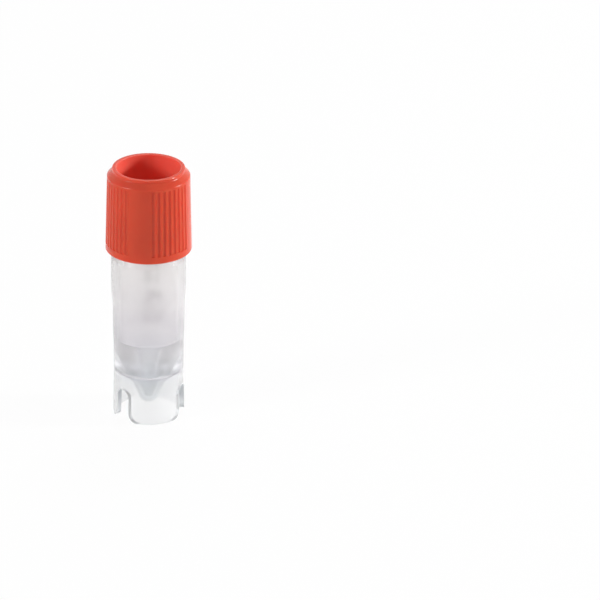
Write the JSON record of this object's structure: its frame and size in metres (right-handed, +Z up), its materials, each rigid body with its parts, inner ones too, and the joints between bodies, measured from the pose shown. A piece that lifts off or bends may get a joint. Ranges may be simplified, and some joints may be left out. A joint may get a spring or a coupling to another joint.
{
  "type": "cryovial",
  "caption": "Small self-standing cryogenic vial: frosted round-bottomed tube on a slotted skirt, with a ribbed, recessed orange-red screw cap.",
  "frame": {"origin": "middle of the foot, on the surface that the vial stands on", "axes": "+Z up along the vial's axis, -Y the front, a little to the left of the front leg's middle"},
  "size_m": [0.014, 0.014, 0.043],
  "materials": {
    "tube_plastic": "natural polypropylene, translucent, satin and slightly frosted",
    "cap_plastic": "orange-red polypropylene, moulded satin gloss",
    "washer_silicone": "translucent grey silicone, smooth"
  },
  "bodies": {
    "vial": {"tube": "tube_plastic"},
    "seal": {"sealing_washer": "washer_silicone"},
    "closure": {"cap": "cap_plastic"}
  },
  "joints": [
    {"name": "cap_lift", "type": "slide", "parent": "vial", "child": "seal", "axis": [0, 0, 1], "range_m": [0, 0.00875]},
    {"name": "cap_turn", "type": "hinge", "parent": "seal", "child": "closure", "pos_m": [0, 0, 0.036], "axis": [0, 0, 1], "range_deg": [0, 788]}
  ],
  "couplings": [
    {"joint": "cap_turn", "follows": "cap_lift", "rad_per_m": 1570.8}
  ]
}
